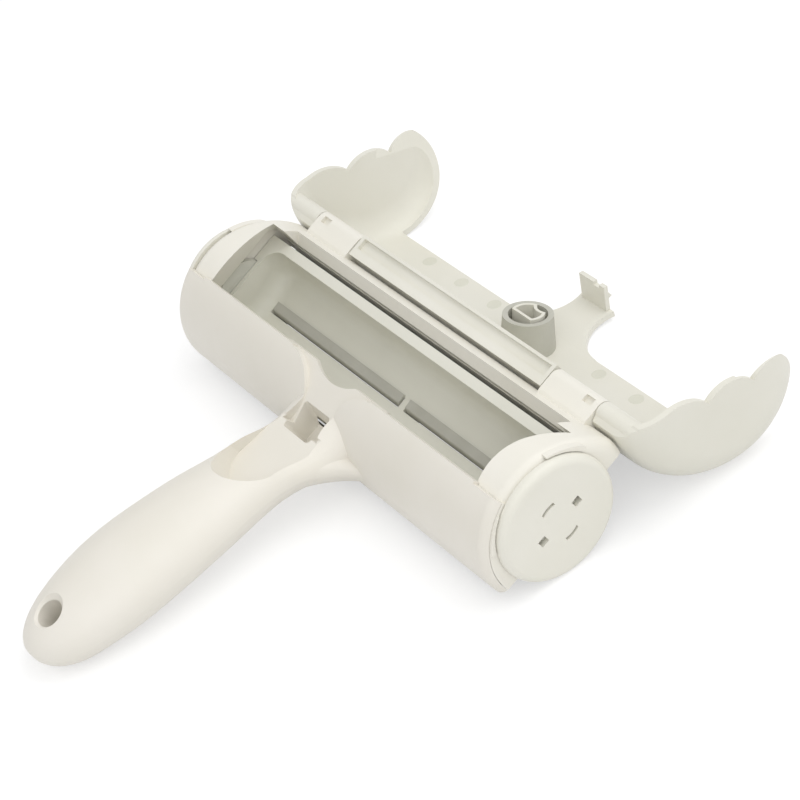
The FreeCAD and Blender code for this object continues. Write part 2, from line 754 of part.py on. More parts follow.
def wing_underside():
    """Everything below the scalloped lower edge of the wings and the hinge side of the lid."""
    x = -far / 3
    low = -far / 10
    toe_z = wing_toe[1]
    neck_top = (hinge_y + wing_heel_in[0], hinge_z - barrel_radius - wing_heel_in[1])
    neck_bow = (hinge_y - wing_neck_bow[0], wing_neck[1] + wing_neck_bow[1])
    heel = (hinge_y + wing_heel[0], hinge_z + wing_heel[1])
    edges = [
        line(x, (far / 6, heel[1]), heel),
        line(x, heel, neck_top),
        arc(x, neck_top, neck_bow, wing_neck),
        arc(x, wing_neck, wing_bows[0], wing_notch_1),
        arc(x, wing_notch_1, wing_bows[1], wing_notch_2),
        arc(x, wing_notch_2, wing_bows[2], wing_tip),
        arc(x, wing_tip, wing_bows[3], wing_toe),
        line(x, wing_toe, (-far / 8, toe_z)),
        line(x, (-far / 8, toe_z), (-far / 8, low)),
        line(x, (-far / 8, low), (far / 6, low)),
        line(x, (far / 6, low), (far / 6, heel[1])),
    ]
    return swept(edges, 2 * far / 3)


def middle_block():
    """Bar of the lid between the frame's eyes, with a shallow channel in its upper side."""
    y0, z1 = block_corner
    floor = z1 - block_groove
    corners = [(y0, z1), (barrel_radius, z1), (barrel_radius, -barrel_radius), (-barrel_radius, -barrel_radius)]
    block = prism(corners, -block_half, block_half)
    block = block.cut(box(-block_half + block_end_wall, block_half - block_end_wall,
                          y0 + block_near_wall, barrel_radius - block_far_wall, floor, far))
    block.rotate(V(0, 0, 0), V(1, 0, 0), lid_open_angle)
    block.translate(at(0, hinge))
    return block


def lid_arm():
    """Hinge eye at the root of a wing, no wider than the wing's outside."""
    eye = rod(hinge, barrel_radius, knuckle_outer + knuckle_gap, arm_end)
    return eye.common(lid_blank(0))


def lid_hook():
    """Latch wall at the end of the tab, with a barb on its outer side."""
    wall = box(-hook_half, hook_half, -tab_length, -tab_length + hook_wall,
               -lid_wall - hook_depth, -lid_wall + 0.5)
    x0, x1 = 1.2 + hook_notch, hook_half
    y = -tab_length
    z = -lid_wall - hook_depth
    corners = [V(x0, y + 0.4, z + 2.0), V(x0, y - barb_reach, z + 4.6), V(x0, y + 0.4, z + 5.4)]
    barb = Part.Face(Part.makePolygon(corners + corners[:1])).extrude(V(x1 - x0, 0, 0))
    notch = box(1.2, 1.2 + hook_notch, y - 1, y + hook_wall + 1, z - 1, z + 1.4)
    hook = wall.fuse(barb).cut(notch)
    hook.rotate(V(0, y, -lid_wall), V(1, 0, 0), -hook_tilt)
    return on_tab(hook)


def button_axis():
    return V(0, button_y, 0)


def lid_top_z():
    """Height of the lid's outside over the push button."""
    return lid_centre[1] + math.sqrt(lid_radius ** 2 - (button_y - lid_centre[0]) ** 2)


def stem_section(radius, flat, growth, z0, z1):
    """Round bar with a flat side and a hollow side, upright in the lid."""
    bar = Part.makeCylinder(radius, z1 - z0, button_axis() + V(0, 0, z0))
    slab = box(-far, far, button_y + flat, far, z0 - 1, z1 + 1)
    x, y, bite = stem_bite
    hollow = Part.makeCylinder(bite - growth, z1 - z0 + 2, button_axis() + V(x, y, z0 - 1))
    return bar.cut(slab).cut(hollow)


def make_lid():
    """Curved lid with its two wings, latch tab, hinge parts and button well: one moulding."""
    outer = lid_blank(0)
    inner = lid_blank(lid_wall)
    shell = outer.cut(inner)
    shell = shell.cut(front_trim(-far / 4, far / 4).common(front_of_edge(wing_trim_gap)))
    shell = shell.cut(wing_underside())
    rear_low = box(-knuckle_outer - knuckle_gap, knuckle_outer + knuckle_gap, hinge_y - 8, far / 4,
                   -far / 10, lid_rear_cut_z)
    shell = shell.cut(rear_low)
    arms = both_ends(lid_arm())
    well_top = lid_top_z()
    well = Part.makeCylinder(button_radius + button_gap + well_wall, well_depth,
                             button_axis() + V(0, 0, well_top - well_depth))
    tab = on_tab(tab_plan(-2.5, tab_length, 0, -lid_wall, 0))
    lid = shell.fuse([tab, lid_hook(), well.common(outer)] + arms)
    for sweep in both_ends(rod(hinge, knuckle_sweep, knuckle_inner - knuckle_gap,
                               knuckle_outer + knuckle_gap)):
        lid = lid.cut(sweep)
    lid = lid.fuse(middle_block())
    clear = button_radius + button_gap
    lid = lid.cut(Part.makeCylinder(clear, far / 10, button_axis()
                                    + V(0, 0, well_top - well_depth + button_floor)))
    lid = lid.cut(stem_section(stem_radius + stem_gap, stem_flat + stem_gap, stem_gap, 10, far / 8))
    for bore in both_ends(rod(hinge, pin_radius + pin_fit, pin_inner - 1, pin_outer + 0.5)):
        lid = lid.cut(bore)
    return max(lid.Solids, key=lambda solid: solid.Volume)


def make_button():
    """Push cap, flush with the lid, on a hollow stem with one flat side."""
    top = lid_top_z()
    low = sleeve_end_z - stem_proud
    cap = Part.makeCylinder(button_radius, far / 10, button_axis() + V(0, 0, top - cap_thickness))
    cap = cap.common(lid_blank(0.05))
    stem = stem_section(stem_radius, stem_flat, 0, low, top - cap_thickness + 0.2)
    bore = stem_section(stem_radius - stem_wall, stem_flat - stem_wall, -stem_wall, low - 1,
                        top - cap_thickness)
    return cap.fuse(stem.cut(bore)).removeSplitter()


def make_sleeve():
    """Soft sleeve round the button stem, seated on the inside of the lid."""
    top = lid_top_z()
    cone = Part.makeCone(sleeve_end_radius, sleeve_base_radius, top - sleeve_end_z,
                         button_axis() + V(0, 0, sleeve_end_z))
    cone = cone.common(lid_blank(lid_wall))
    well = button_radius + button_gap + well_wall + sleeve_gap
    wide = Part.makeCylinder(well, far / 10, button_axis() + V(0, 0, top - well_depth - sleeve_gap))
    narrow = Part.makeCylinder(sleeve_bore, far / 4, button_axis())
    return cone.cut(wide).cut(narrow)


def hinge_pin():
    return rod(hinge, pin_radius, pin_inner, pin_outer)


def drum_trough(radius, x0, x1):
    """Lower part of a round drum, up to the rim height."""
    return rod(drum_centre, radius, x0, x1).common(box(-far, far, -far, far, -far, drum_rim_z))


def make_drum_shell():
    """Rocking drum: half round wall, end walls with hubs, and the chute under the slot."""
    wall = drum_trough(drum_radius, -drum_half, drum_half)
    wall = wall.cut(rod(drum_centre, drum_radius - drum_wall, -drum_half + end_wall,
                        drum_half - end_wall))
    chute_top = tray_floor_z - tray_wall - 0.1
    chute_low = drum_axis_z - drum_radius + 0.4
    chute = box(-slot_half_length - chute_wall, slot_half_length + chute_wall,
                slot_near_y - chute_wall, slot_far_y + chute_wall, chute_low, chute_top)
    wall = wall.fuse(chute)
    for x0, x1 in slot_spans():
        wall = wall.cut(box(x0, x1, slot_near_y, slot_far_y, -far / 4, chute_top + 1))
    hub_end = head_half + disc_gap + disc_rim + 0.8
    hubs = []
    for end in both_ends(rod(drum_centre, hub_radius + hub_flange, drum_half - end_wall, drum_half)):
        hubs.append(end)
    for hub in both_ends(rod(drum_centre, hub_radius, drum_half - 0.2, hub_end)):
        hubs.append(hub)
    shell = joined([wall] + hubs)
    for bore in both_ends(rod(drum_centre, hub_bore, drum_half + 0.2, hub_end + 1)):
        shell = shell.cut(bore)
    return shell


def slot_spans():
    """The two halves of the slot, left and right of the middle rib."""
    return ((-slot_half_length, -slot_rib / 2), (slot_rib / 2, slot_half_length))


def tray_edges(x, radius, floor_z, rim_z):
    """Upper outline of the tray's section at one skin: round walls, a knee and a sloping floor."""
    rim_y = circle_y(drum_centre, radius, rim_z, 1)
    knee = polar(drum_centre, radius, tray_knee_angle)
    mid_angle = (math.degrees(math.asin((rim_z - drum_axis_z) / radius)) + tray_knee_angle) / 2
    mid = polar(drum_centre, radius, mid_angle)
    lip = (slot_far_y, floor_z)
    def left(p):
        return (-p[0], p[1])
    rim = (rim_y, rim_z)
    return [
        arc(x, rim, mid, knee), line(x, knee, lip), line(x, lip, left(lip)),
        line(x, left(lip), left(knee)), arc(x, left(knee), left(mid), left(rim)),
        line(x, left(rim), rim),
    ]


def tray_hollow(half, radius):
    """Inside of the tray, drawn a little past the rim, its folds and its ends rounded."""
    hollow = swept(tray_edges(-half, radius, tray_floor_z, tray_rim_z + tray_over), 2 * half)
    folds = [e for e in hollow.Edges if e.BoundBox.XLength > half and e.BoundBox.ZMax < drum_axis_z]
    hollow = hollow.makeFillet(tray_fold_round, folds)
    kinds = ("Part::GeomCircle", "Part::GeomLine")
    ends = end_edges(hollow, half, kinds) + end_edges(hollow, -half, kinds)
    ends = [e for e in ends if e.BoundBox.ZMin < tray_rim_z]
    return hollow.makeFillet(tray_end_round, ends)


def make_drum_tray():
    """Hair tray that lies in the drum: smooth hollow with rounded ends and the long slot."""
    outer_r = drum_radius - drum_wall - tray_gap
    half = drum_half - end_wall - tray_gap
    solid = swept(tray_edges(-half, outer_r, tray_floor_z - tray_wall, tray_rim_z), 2 * half)
    flange_y = circle_y(drum_centre, drum_radius, tray_rim_z, 1)
    z0 = tray_rim_z - tray_flange
    flange = box(-drum_half, drum_half, -flange_y, flange_y, z0, tray_rim_z)
    for hub in both_ends(rod(drum_centre, hub_radius + hub_flange + tray_gap, half, far)):
        flange = flange.cut(hub)
    solid = solid.fuse(flange)
    tray = solid.cut(tray_hollow(half - tray_wall, outer_r - tray_wall))
    for x0, x1 in slot_spans():
        tray = tray.cut(box(x0, x1, slot_near_y, slot_far_y, -far / 4, 0))
    return tray


def slot_flap(x0, x1):
    """Soft flap fixed beside the slot, its free edge hanging over it."""
    knee = polar(drum_centre, drum_radius - drum_wall - tray_gap - tray_wall, tray_knee_angle)
    slope = (knee[1] - tray_floor_z) / (knee[0] - slot_far_y)
    root_z = tray_floor_z + slope * (flap_root_y - slot_far_y)
    tip_z = tray_floor_z - 0.2
    t = flap_thickness
    hang_y, hang = flap_hang
    lip_z = tray_floor_z + flap_lift
    root_z = root_z + flap_lift
    return prism([
        (flap_root_y, root_z), (slot_far_y, lip_z), (flap_tip_y + t, tip_z - t / 2),
        (hang_y + t / 2, tray_floor_z - hang), (hang_y, tray_floor_z - hang),
        (flap_tip_y, tip_z + t / 2), (flap_tip_y + t / 2, tip_z + t), (slot_far_y, lip_z + t),
        (flap_root_y, root_z + t),
    ], x0 + flap_clear, x1 - flap_clear)


def cloth_strip(a0, a1):
    """Lint cloth on one side of the drum, between two angles."""
    ring = rod(drum_centre, drum_radius + nap_height, -wiper_half, wiper_half)
    ring = ring.cut(rod(drum_centre, drum_radius, -far, far))
    reach = far / 8
    mid = (a0 + a1) / 2
    fan = [drum_centre, polar(drum_centre, reach, a0), polar(drum_centre, reach, mid),
           polar(drum_centre, reach, a1)]
    return ring.common(prism(fan, -far, far))


def end_disc():
    """Dished end disc with a soft rim, hub socket, two clip windows and two arc slots."""
    x0 = head_half + disc_gap
    x1 = x0 + disc_rim
    x2 = x1 + disc_round
    r = disc_radius
    s = r - disc_round
    def p(x, rad):
        return V(x, 0, drum_axis_z + rad)
    a = math.radians(45)
    crown = p(x1 + disc_round * math.sin(a), s + disc_round * math.cos(a))
    edges = [
        Part.LineSegment(p(x0, 0), p(x0, r)).toShape(),
        Part.LineSegment(p(x0, r), p(x1, r)).toShape(),
        Part.Arc(p(x1, r), crown, p(x2, s)).toShape(),
        Part.LineSegment(p(x2, s), p(x2, 0)).toShape(),
        Part.LineSegment(p(x2, 0), p(x0, 0)).toShape(),
    ]
    disc = Part.Face(Part.Wire(edges)).revolve(V(0, 0, drum_axis_z), V(1, 0, 0), 360)
    socket = hub_radius + hub_fit / 2
    dish = rod(drum_centre, r - disc_wall - 0.8, x0 - 1, x2 - disc_wall)
    dish = dish.cut(rod(drum_centre, socket + disc_wall, x0 - 2, x2))
    disc = disc.cut(dish).cut(rod(drum_centre, socket, x0 - 1, x2 - disc_wall))
    w = disc_window / 2
    for side in (-1, 1):
        y = side * disc_slot_ring
        disc = disc.cut(box(x0 - 1, x2 + 1, y - w, y + w, drum_axis_z - w, drum_axis_z + w))
        slot = rod(drum_centre, disc_slot_ring + disc_arc_slot[0] / 2, x0 - 1, x2 + 1)
        slot = slot.cut(rod(drum_centre, disc_slot_ring - disc_arc_slot[0] / 2, x0 - 2, x2 + 2))
        span = disc_arc_slot[1] / 2
        z0 = drum_axis_z if side > 0 else drum_axis_z - far
        disc = disc.cut(slot.common(box(x0 - 1, x2 + 1, -span, span, z0, z0 + far)))
    return disc


def wiper(side):
    """Rubber wiper under the sole, its lip close to the cloth."""
    points = [(wiper_outer, 0), (wiper_outer, -wiper_thickness),
              (wiper_inner, -wiper_thickness - wiper_droop), (wiper_tip, -wiper_thickness),
              (wiper_inner, 0)]
    return prism([(side * y, z) for y, z in points], -wiper_half, wiper_half)


def lay_angle():
    """Tip of the resting brush: the line under the end disc and the tail of the handle."""
    y, z, _, b = handle_stations[rest_index]
    dy = y
    dz = z - b - drum_axis_z
    reach = math.hypot(dy, dz)
    return math.degrees(math.acos(-disc_radius / reach) - math.atan2(-dy, dz))


def opened(shape):
    """Turn a shut lid piece about the hinge into its open rest position."""
    shape = shape.copy()
    shape.rotate(at(0, hinge), V(1, 0, 0), -lid_open_angle)
    return shape


def tipped(shape):
    """Tip a piece with the whole brush."""
    shape = shape.copy()
    shape.rotate(V(0, 0, 0), V(1, 0, 0), lay_angle())
    return shape


def tipped_point(point, open_lid=False):
    """The same two turns for one point."""
    p = V(point)
    turn = FreeCAD.Rotation(V(1, 0, 0), lay_angle())
    if open_lid:
        swing = FreeCAD.Rotation(V(1, 0, 0), -lid_open_angle)
        p = at(0, hinge) + swing.multVec(p - at(0, hinge))
    return turn.multVec(p)


def make_pieces():
    """Every piece of the brush, tipped, by name."""
    pins = both_ends(hinge_pin())
    discs = both_ends(end_disc())
    left_span, right_span = slot_spans()
    low, high = half_turn + cloth_edge_angle, 1.5 * half_turn - cloth_slot_angle
    fixed = {
        "handle_shell": make_handle_shell(),
        "handle_cover": make_handle_cover(),
        "cover_screws": make_cover_screws(),
        "head_frame": make_head_frame(),
        "wiper_strip_front": wiper(-1),
        "wiper_strip_rear": wiper(1),
        "hinge_pin_right": pins[0],
        "hinge_pin_left": pins[1],
        "drum_shell": make_drum_shell(),
        "drum_tray": make_drum_tray(),
        "slot_flap_left": slot_flap(*left_span),
        "slot_flap_right": slot_flap(*right_span),
        "lint_cloth_front": cloth_strip(low, high),
        "lint_cloth_rear": cloth_strip(3 * half_turn - high, 3 * half_turn - low),
        "end_disc_right": discs[0],
        "end_disc_left": discs[1],
    }
    swung = {
        "lid": make_lid(),
        "release_button": make_button(),
        "button_sleeve": make_sleeve(),
    }
    pieces = {name: tipped(shape) for name, shape in fixed.items()}
    for name, shape in swung.items():
        pieces[name] = tipped(opened(shape))
    return pieces


def table_shift(pieces):
    """Move that puts the middle of the brush's outline over the origin and its lowest point at z = 0."""
    bounds = FreeCAD.BoundBox()
    for shape in pieces.values():
        bounds.add(shape.optimalBoundingBox(False, False))
    return V(-(bounds.XMin + bounds.XMax) / 2, -(bounds.YMin + bounds.YMax) / 2, -bounds.ZMin)


def main():
    pieces = make_pieces()
    shift = table_shift(pieces)
    os.makedirs("parts", exist_ok=True)
    for name, shape in pieces.items():
        shape.translate(shift)
        shape.exportStep("parts/" + name + ".step")
        low = shape.optimalBoundingBox(False, False)
        print(f"{name:20s} solids {len(shape.Solids)} valid {shape.isValid()} "
              f"volume {shape.Volume:9.1f} y {low.YMin:7.1f} {low.YMax:6.1f} z {low.ZMin:6.2f} {low.ZMax:6.1f}")
    print("lay angle", round(lay_angle(), 3), "shift", tuple(round(c, 3) for c in shift))
    return pieces, shift


if __name__ == "__main__":
    main()
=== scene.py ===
# %% [markdown]
# # A pet hair brush, open on the table
# The brush has a half round head with a rocking drum inside, a lid that swings up on a
# long hinge, and a hollow handle. Its solids come from CAD, and they are loaded here as a
# fixed frame. This lesson gives them their plastics, rubber, cloth and steel, adds the soft
# pieces that CAD only stands in for, and lights them like a studio picture.

# %% Load the frame
import json
import math

import bpy
import numpy as np
from mathutils import Euler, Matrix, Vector


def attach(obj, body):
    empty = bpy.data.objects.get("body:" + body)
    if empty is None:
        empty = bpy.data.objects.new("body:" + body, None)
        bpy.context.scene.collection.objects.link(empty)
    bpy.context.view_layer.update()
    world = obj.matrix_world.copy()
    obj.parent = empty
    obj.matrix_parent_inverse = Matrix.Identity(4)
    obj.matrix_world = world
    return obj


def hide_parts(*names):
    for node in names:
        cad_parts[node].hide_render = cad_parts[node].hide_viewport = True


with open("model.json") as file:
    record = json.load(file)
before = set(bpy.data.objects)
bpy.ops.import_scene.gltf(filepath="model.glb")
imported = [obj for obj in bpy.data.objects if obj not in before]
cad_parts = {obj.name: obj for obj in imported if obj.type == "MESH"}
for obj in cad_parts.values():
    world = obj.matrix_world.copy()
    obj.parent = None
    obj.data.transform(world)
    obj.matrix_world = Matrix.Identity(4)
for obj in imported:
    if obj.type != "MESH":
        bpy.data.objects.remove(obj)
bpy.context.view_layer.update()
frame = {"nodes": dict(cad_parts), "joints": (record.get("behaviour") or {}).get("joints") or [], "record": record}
nodes = frame["nodes"]
print("pieces in the frame:", len(nodes))

# %% [markdown]
# ## Where the head stands
# The head was drawn flat and then tipped about the drum's direction until the brush lay on
# its end discs. Two numbers from the record bring that back: the drum's axis and the tip.
# With them, a point can be given as the head knows it: along the drum, across it, and up.
# The lid was drawn shut and then opened about its hinge, so a point on it takes that turn first.

# %% The head's own axes
TIP = math.radians(24.164)
JOINTS = {joint["name"]: joint for joint in frame["joints"]}
DRUM_AXIS = np.array(JOINTS["drum_swing"]["pos_m"])
DRUM_AXIS_Z = 0.0059
print("drum axis in the row frame:", DRUM_AXIS)


def head_point(x, y, z):
    """Turn the head's y and z by the tip about the drum, and move them to the drum's place."""
    up = np.asarray(z) - DRUM_AXIS_Z
    across = np.asarray(y)
    row_y = DRUM_AXIS[1] + across * math.cos(TIP) - up * math.sin(TIP)
    row_z = DRUM_AXIS[2] + across * math.sin(TIP) + up * math.cos(TIP)
    return np.stack([np.broadcast_to(x, row_y.shape), row_y, row_z], axis=-1)


LID_OPEN = math.radians(217.9)
HINGE_Y, HINGE_Z = 0.036, 0.0045


def lid_point(x, y, z):
    """Turn a point of the shut lid about the hinge by the open angle, then place it as the head's."""
    out, up = np.asarray(y) - HINGE_Y, np.asarray(z) - HINGE_Z
    cos, sin = math.cos(LID_OPEN), math.sin(LID_OPEN)
    return head_point(x, HINGE_Y + out * cos + up * sin, HINGE_Z - out * sin + up * cos)


# %% [markdown]
# ## Camera
# The picture was taken from above the right end with a long lens. The place and the angles
# below were worked out from the straight edges of the head and the round end disc.

# %% Camera
LENS_MM, SENSOR_MM = 113.47, 36.0
CAMERA_PLACE = (0.60081, -0.25555, 0.5466)
CAMERA_TURN = (50.27823, 12.39101, 54.40149)

camera_data = bpy.data.cameras.new("photo_camera")
camera_data.lens = LENS_MM
camera_data.sensor_width = SENSOR_MM
camera = bpy.data.objects.new("photo_camera", camera_data)
camera.location = CAMERA_PLACE
camera.rotation_euler = Euler([math.radians(a) for a in CAMERA_TURN], "XYZ")
bpy.context.scene.collection.objects.link(camera)
bpy.context.scene.camera = camera
print("camera distance:", round(Vector(camera.location).length, 3), "m")

# %% [markdown]
# ## Node helpers
# Every finish is a small tree of nodes. These helpers add a node, a link and a noise, so
# that each finish below reads as a list of what the real surface has.

# %% Node helpers
def new_finish(name):
    """Start a material with one principled shader, and return the material, its tree and shader."""
    material = bpy.data.materials.new(name)
    material.use_nodes = True
    tree = material.node_tree
    shader = tree.nodes["Principled BSDF"]
    return material, tree, shader


def noise(tree, scale, detail=3.0, roughness=0.5):
    """Noise on the object's own coordinates, with scale in cells per metre."""
    place = tree.nodes.new("ShaderNodeTexCoord")
    texture = tree.nodes.new("ShaderNodeTexNoise")
    texture.inputs["Scale"].default_value = scale
    texture.inputs["Detail"].default_value = detail
    texture.inputs["Roughness"].default_value = roughness
    tree.links.new(place.outputs["Object"], texture.inputs["Vector"])
    return texture.outputs["Fac"]


def spread(tree, value, low, high):
    """Map a noise's useful middle, 0.3 to 0.7, to the range from low to high."""
    node = tree.nodes.new("ShaderNodeMapRange")
    node.inputs["From Min"].default_value = 0.3
    node.inputs["From Max"].default_value = 0.7
    node.inputs["To Min"].default_value = low
    node.inputs["To Max"].default_value = high
    tree.links.new(value, node.inputs["Value"])
    return node.outputs["Result"]


def tint(tree, factor, dark, light):
    """Blend two colours by a factor."""
    node = tree.nodes.new("ShaderNodeMix")
    node.data_type = "RGBA"
    node.inputs["A"].default_value = (*dark, 1.0)
    node.inputs["B"].default_value = (*light, 1.0)
    tree.links.new(factor, node.inputs["Factor"])
    return node.outputs["Result"]


def bump(tree, shader, height, depth, strength=1.0):
    """Fine relief: height times depth in metres tilts the shader's normal."""
    node = tree.nodes.new("ShaderNodeBump")
    node.inputs["Distance"].default_value = depth
    node.inputs["Strength"].default_value = strength
    tree.links.new(height, node.inputs["Height"])
    tree.links.new(node.outputs["Normal"], shader.inputs["Normal"])


def linear(rgb):
    """sRGB numbers from 0 to 255 to the linear light that shaders use."""
    s = np.asarray(rgb, float) / 255.0
    return tuple(np.where(s <= 0.04045, s / 12.92, ((s + 0.055) / 1.055) ** 2.4))


print("helpers ready; mid grey is", [round(c, 3) for c in linear((128, 128, 128))])


# %% [markdown]
# ## Moulded plastic
# The shell, lid, handle and discs are satin ABS. Such plastic is never one colour: the melt
# leaves slow cloudy shifts, and the mould's fine spark texture breaks up the gloss. So each
# plastic gets two near colours, a slow noise between them, a changing roughness, and a bump
# far smaller than a millimetre. The head's ends and rear rail are a shade lighter than the shell:
# partly a whiter plastic, partly painted light that lifts the shaded inner face of the rear rail.

# %% Satin plastics
def satin_plastic(name, dark, light, gloss=0.42, grain=2600.0, depth=0.00002):
    """Colour from slow noise, roughness from mid noise, relief from a fine grain."""
    material, tree, shader = new_finish(name)
    slow = spread(tree, noise(tree, 28.0, 4.0), 0.0, 1.0)
    tree.links.new(tint(tree, slow, linear(dark), linear(light)), shader.inputs["Base Color"])
    dull = spread(tree, noise(tree, 420.0, 2.0), gloss - 0.05, gloss + 0.06)
    tree.links.new(dull, shader.inputs["Roughness"])
    shader.inputs["IOR"].default_value = 1.49
    bump(tree, shader, noise(tree, grain, 2.0), depth)
    return material


shell_plastic = satin_plastic("shell_plastic", (228, 224, 213), (233, 229, 220))
# The frame's plastic is lighter than the shell's: a whiter tone plus painted light for the shaded rear rail.
frame_whiter_and_painted_light_plastic = satin_plastic("frame_whiter_and_painted_light_plastic", (233, 230, 219), (238, 235, 226))
lid_plastic = satin_plastic("lid_plastic", (224, 222, 210), (230, 228, 218))
disc_plastic = satin_plastic("disc_plastic", (228, 226, 214), (233, 231, 221))
tray_plastic = satin_plastic("tray_plastic", (218, 217, 205), (224, 223, 212), gloss=0.36)
drum_plastic = satin_plastic("drum_plastic", (205, 205, 194), (212, 212, 203))
print("plastics:", [m.name for m in bpy.data.materials if m.name.endswith("plastic")])

# %% [markdown]
# ## Rubber and steel
# The slot flaps, the wipers and the button's sleeve are soft grey elastomer: dull, with a
# faint powdery bloom. The hinge pins and screws are drawn steel.

# %% Rubber and steel
def soft_rubber(name, dark, light):
    """Dull grey with a cloudy bloom and a matt, slightly pitted skin."""
    material, tree, shader = new_finish(name)
    cloud = spread(tree, noise(tree, 90.0, 5.0), 0.0, 1.0)
    tree.links.new(tint(tree, cloud, linear(dark), linear(light)), shader.inputs["Base Color"])
    tree.links.new(spread(tree, noise(tree, 900.0, 2.0), 0.6, 0.78), shader.inputs["Roughness"])
    bump(tree, shader, noise(tree, 3500.0, 2.0), 0.00003)
    return material


def drawn_steel(name):
    """Grey metal with fine streaks stretched along the drum's direction."""
    material, tree, shader = new_finish(name)
    place = tree.nodes.new("ShaderNodeTexCoord")
    stretch = tree.nodes.new("ShaderNodeMapping")
    stretch.inputs["Scale"].default_value = (40.0, 2400.0, 2400.0)
    streak = tree.nodes.new("ShaderNodeTexNoise")
    streak.inputs["Scale"].default_value = 1.0
    tree.links.new(place.outputs["Object"], stretch.inputs["Vector"])
    tree.links.new(stretch.outputs["Vector"], streak.inputs["Vector"])
    grey = spread(tree, streak.outputs["Fac"], 0.0, 1.0)
    steel = tint(tree, grey, linear((150, 150, 152)), linear((186, 186, 188)))
    tree.links.new(steel, shader.inputs["Base Color"])
    tree.links.new(spread(tree, streak.outputs["Fac"], 0.25, 0.4), shader.inputs["Roughness"])
    shader.inputs["Metallic"].default_value = 1.0
    return material


flap_rubber = soft_rubber("flap_rubber", (179, 178, 168), (189, 188, 179))
sleeve_rubber = soft_rubber("sleeve_rubber", (186, 185, 173), (195, 194, 184))
pin_steel = drawn_steel("pin_steel")
print("rubbers and steel ready")

# %% [markdown]
# ## Hand the finishes out
# Each CAD piece keeps its shape and takes the finish of its material slot in the record. The
# head's frame shares the shell's slot, so its lighter plastic, a whiter tone with painted light for the shaded
# rear rail, is set by name.

# %% Assign finishes
FINISH_OF_SLOT = {
    "shell_white": shell_plastic, "lid_white": lid_plastic, "disc_white": disc_plastic,
    "drum_white": drum_plastic, "tray_white": tray_plastic, "flap_grey": flap_rubber,
    "sleeve_grey": sleeve_rubber, "cloth_grey": flap_rubber,
    "pin_steel": pin_steel, "screw_steel": pin_steel,
}
slot_of = {entry["node"]: entry["material_slot"] for entry in frame["record"]["subparts"]}
for name, node in nodes.items():
    node.data.materials.clear()
    node.data.materials.append(FINISH_OF_SLOT[slot_of[name]])
# Lighter copy of the shell plastic: painted light on the shaded rear rail, plus a whiter tone.
nodes["head_frame"].data.materials[0] = frame_whiter_and_painted_light_plastic
print("finished nodes:", len(slot_of))

# %% [markdown]
# ## Lint cloth
# Two strips of short slanted pile are glued to the drum, one on each side of the slot. They
# are the working faces. Each is a sheet that follows the
# drum: full height in the middle, rolled down to the drum at all four borders, and ribbed
# very finely where the backing was woven. The pile itself leans round the drum, so its sheen
# comes from stretched noise.

# %% Pile cloth finish
def pile_finish(name, shade_between_tufts, tip):
    """Short pile: painted shade darkens the colour between the tufts, lighter at the tips, streaked round the
    drum, with sheen.
    """
    material, tree, shader = new_finish(name)
    place = tree.nodes.new("ShaderNodeTexCoord")
    lean = tree.nodes.new("ShaderNodeMapping")
    lean.inputs["Scale"].default_value = (2600.0, 700.0, 700.0)
    tuft = tree.nodes.new("ShaderNodeTexNoise")
    tuft.inputs["Scale"].default_value = 1.0
    tuft.inputs["Detail"].default_value = 4.0
    tree.links.new(place.outputs["Object"], lean.inputs["Vector"])
    tree.links.new(lean.outputs["Vector"], tuft.inputs["Vector"])
    brushed = spread(tree, noise(tree, 60.0, 3.0), -0.25, 0.25)
    total = tree.nodes.new("ShaderNodeMath")
    total.operation = "ADD"
    tree.links.new(spread(tree, tuft.outputs["Fac"], 0.1, 0.9), total.inputs[0])
    tree.links.new(brushed, total.inputs[1])
    # The pile's colour runs from painted shade between the tufts to the lighter tips.
    pile = tint(tree, total.outputs["Value"], linear(shade_between_tufts), linear(tip))
    tree.links.new(pile, shader.inputs["Base Color"])
    shader.inputs["Roughness"].default_value = 0.92
    shader.inputs["Sheen Weight"].default_value = 0.45
    shader.inputs["Sheen Roughness"].default_value = 0.4
    bump(tree, shader, tuft.outputs["Fac"], 0.00025)
    return material


# First colour: painted shade between the tufts; second colour: the tips.
lint_pile = pile_finish("lint_pile", (112, 113, 108), (158, 159, 152))
print("pile ready")

# %% Cloth strips on the drum
DRUM_RADIUS, PILE, STRIP_HALF = 0.0212, 0.0009, 0.0879
GLUE_GAP = 0.00002
BORDER_ROLL = 0.0011
TUFT_DEPTH = 0.00022


